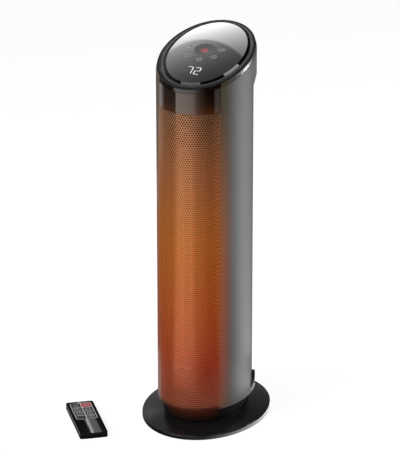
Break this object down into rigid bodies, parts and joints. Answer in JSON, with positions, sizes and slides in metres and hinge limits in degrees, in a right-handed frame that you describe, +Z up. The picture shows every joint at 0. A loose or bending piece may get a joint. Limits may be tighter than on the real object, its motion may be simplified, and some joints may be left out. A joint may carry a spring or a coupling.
{
  "type": "ceramic fan heater",
  "caption": "Tall oval tower fan heater on an oval swivel base: curved perforated front, sloping glass touch panel, grey flanks, vertical blower, ceramic element and a slim remote.",
  "frame": {"origin": "on the floor, below the middle of the oval base and on the swivel axis", "axes": "+Z up along the swivel axis, -Y towards the air outlet in front, +X to the right seen from the front"},
  "size_m": [0.2937, 0.2904, 0.587],
  "materials": {
    "black_shell": "satin",
    "grey_shell": "satin",
    "bronze_grille": "satin",
    "bronze_gloss": "gloss",
    "bezel_grey": "matte",
    "panel_glass": "gloss",
    "inner_plastic": "matte",
    "nylon": "matte",
    "black_plastic": "matte",
    "circuit_board": "matte",
    "zinc_steel": "brushed",
    "motor_iron": "matte",
    "fin_aluminium": "matte",
    "bronze_bush": "matte",
    "rubber": "matte",
    "heater_ceramic": "matte",
    "frame_resin": "matte",
    "remote_case": "gloss"
  },
  "bodies": {
    "base": {"base_cover": "black_shell", "base_plate": "zinc_steel", "rubber_feet": "rubber", "base_screws": "zinc_steel", "slip_ring": "nylon", "swing_gear": "nylon", "gear_washer": "zinc_steel", "gear_screws": "zinc_steel"},
    "tower": {"turntable": "black_shell", "front_housing": "grey_shell", "rear_housing": "grey_shell", "front_grille": "bronze_grille", "front_band": "bronze_gloss", "bezel_ring": "bezel_grey", "panel_lens": "panel_glass", "bottom_cap": "inner_plastic", "head_tray": "inner_plastic", "duct_floor": "inner_plastic", "duct_roof": "inner_plastic", "duct_scroll": "inner_plastic", "duct_tongue": "inner_plastic", "supply_parts": "inner_plastic", "tip_switch": "inner_plastic", "heater_relays": "inner_plastic", "terminal_block": "nylon", "motor_coil": "nylon", "cord_gland": "black_plastic", "gland_nut": "black_plastic", "power_switch": "black_plastic", "display_module": "black_plastic", "ir_receiver": "black_plastic", "thermal_fuse": "black_plastic", "power_board": "circuit_board", "control_board": "circuit_board", "case_screws": "zinc_steel", "board_screws": "zinc_steel", "motor_screws": "zinc_steel", "motor_bridges": "zinc_steel", "swing_motor": "zinc_steel", "electrode_strips": "zinc_steel", "thermal_cutout": "zinc_steel", "motor_stack": "motor_iron", "heater_fins": "fin_aluminium", "sleeve_bearings": "bronze_bush", "bush_ring": "rubber", "ceramic_stones": "heater_ceramic", "heater_frame": "frame_resin"},
    "pinion": {"swing_pinion": "nylon"},
    "blower": {"blower_wheel": "fin_aluminium", "motor_shaft": "zinc_steel", "motor_rotor": "motor_iron"},
    "button": {"power_button": "panel_glass", "switch_plunger": "nylon"},
    "remote": {"remote_lower": "remote_case", "remote_upper": "remote_case", "key_film": "black_plastic", "ir_window": "black_plastic", "remote_board": "circuit_board"},
    "battery_tray": {"battery_tray": "remote_case", "coin_cell": "zinc_steel"}
  },
  "joints": [
    {"name": "swing", "type": "hinge", "parent": "base", "child": "tower", "pos_m": [0, 0, 0.02], "axis": [0, 0, 1], "range_deg": [-35, 35]},
    {"name": "pinion_turn", "type": "hinge", "parent": "tower", "child": "pinion", "pos_m": [0, 0.0511, 0.022], "axis": [0, 0, 1], "range_deg": [-140, 140]},
    {"name": "blower_turn", "type": "hinge", "parent": "tower", "child": "blower", "pos_m": [0, 0.028, 0.276], "axis": [0, 0, 1], "continuous": true},
    {"name": "power_press", "type": "slide", "parent": "tower", "child": "button", "axis": [0, 0.2554, -0.9668], "range_m": [0, 0.001], "stiffness_N_per_m": 900},
    {"name": "remote_lift", "type": "slide", "parent": "base", "child": "remote", "axis": [0, 0, 1], "range_m": [0, 0.3]},
    {"name": "battery_slide", "type": "slide", "parent": "remote", "child": "battery_tray", "axis": [0.5446, -0.8387, 0], "range_m": [0, 0.025]}
  ],
  "couplings": [
    {"joint": "pinion_turn", "follows": "swing", "ratio": 3.8571}
  ]
}
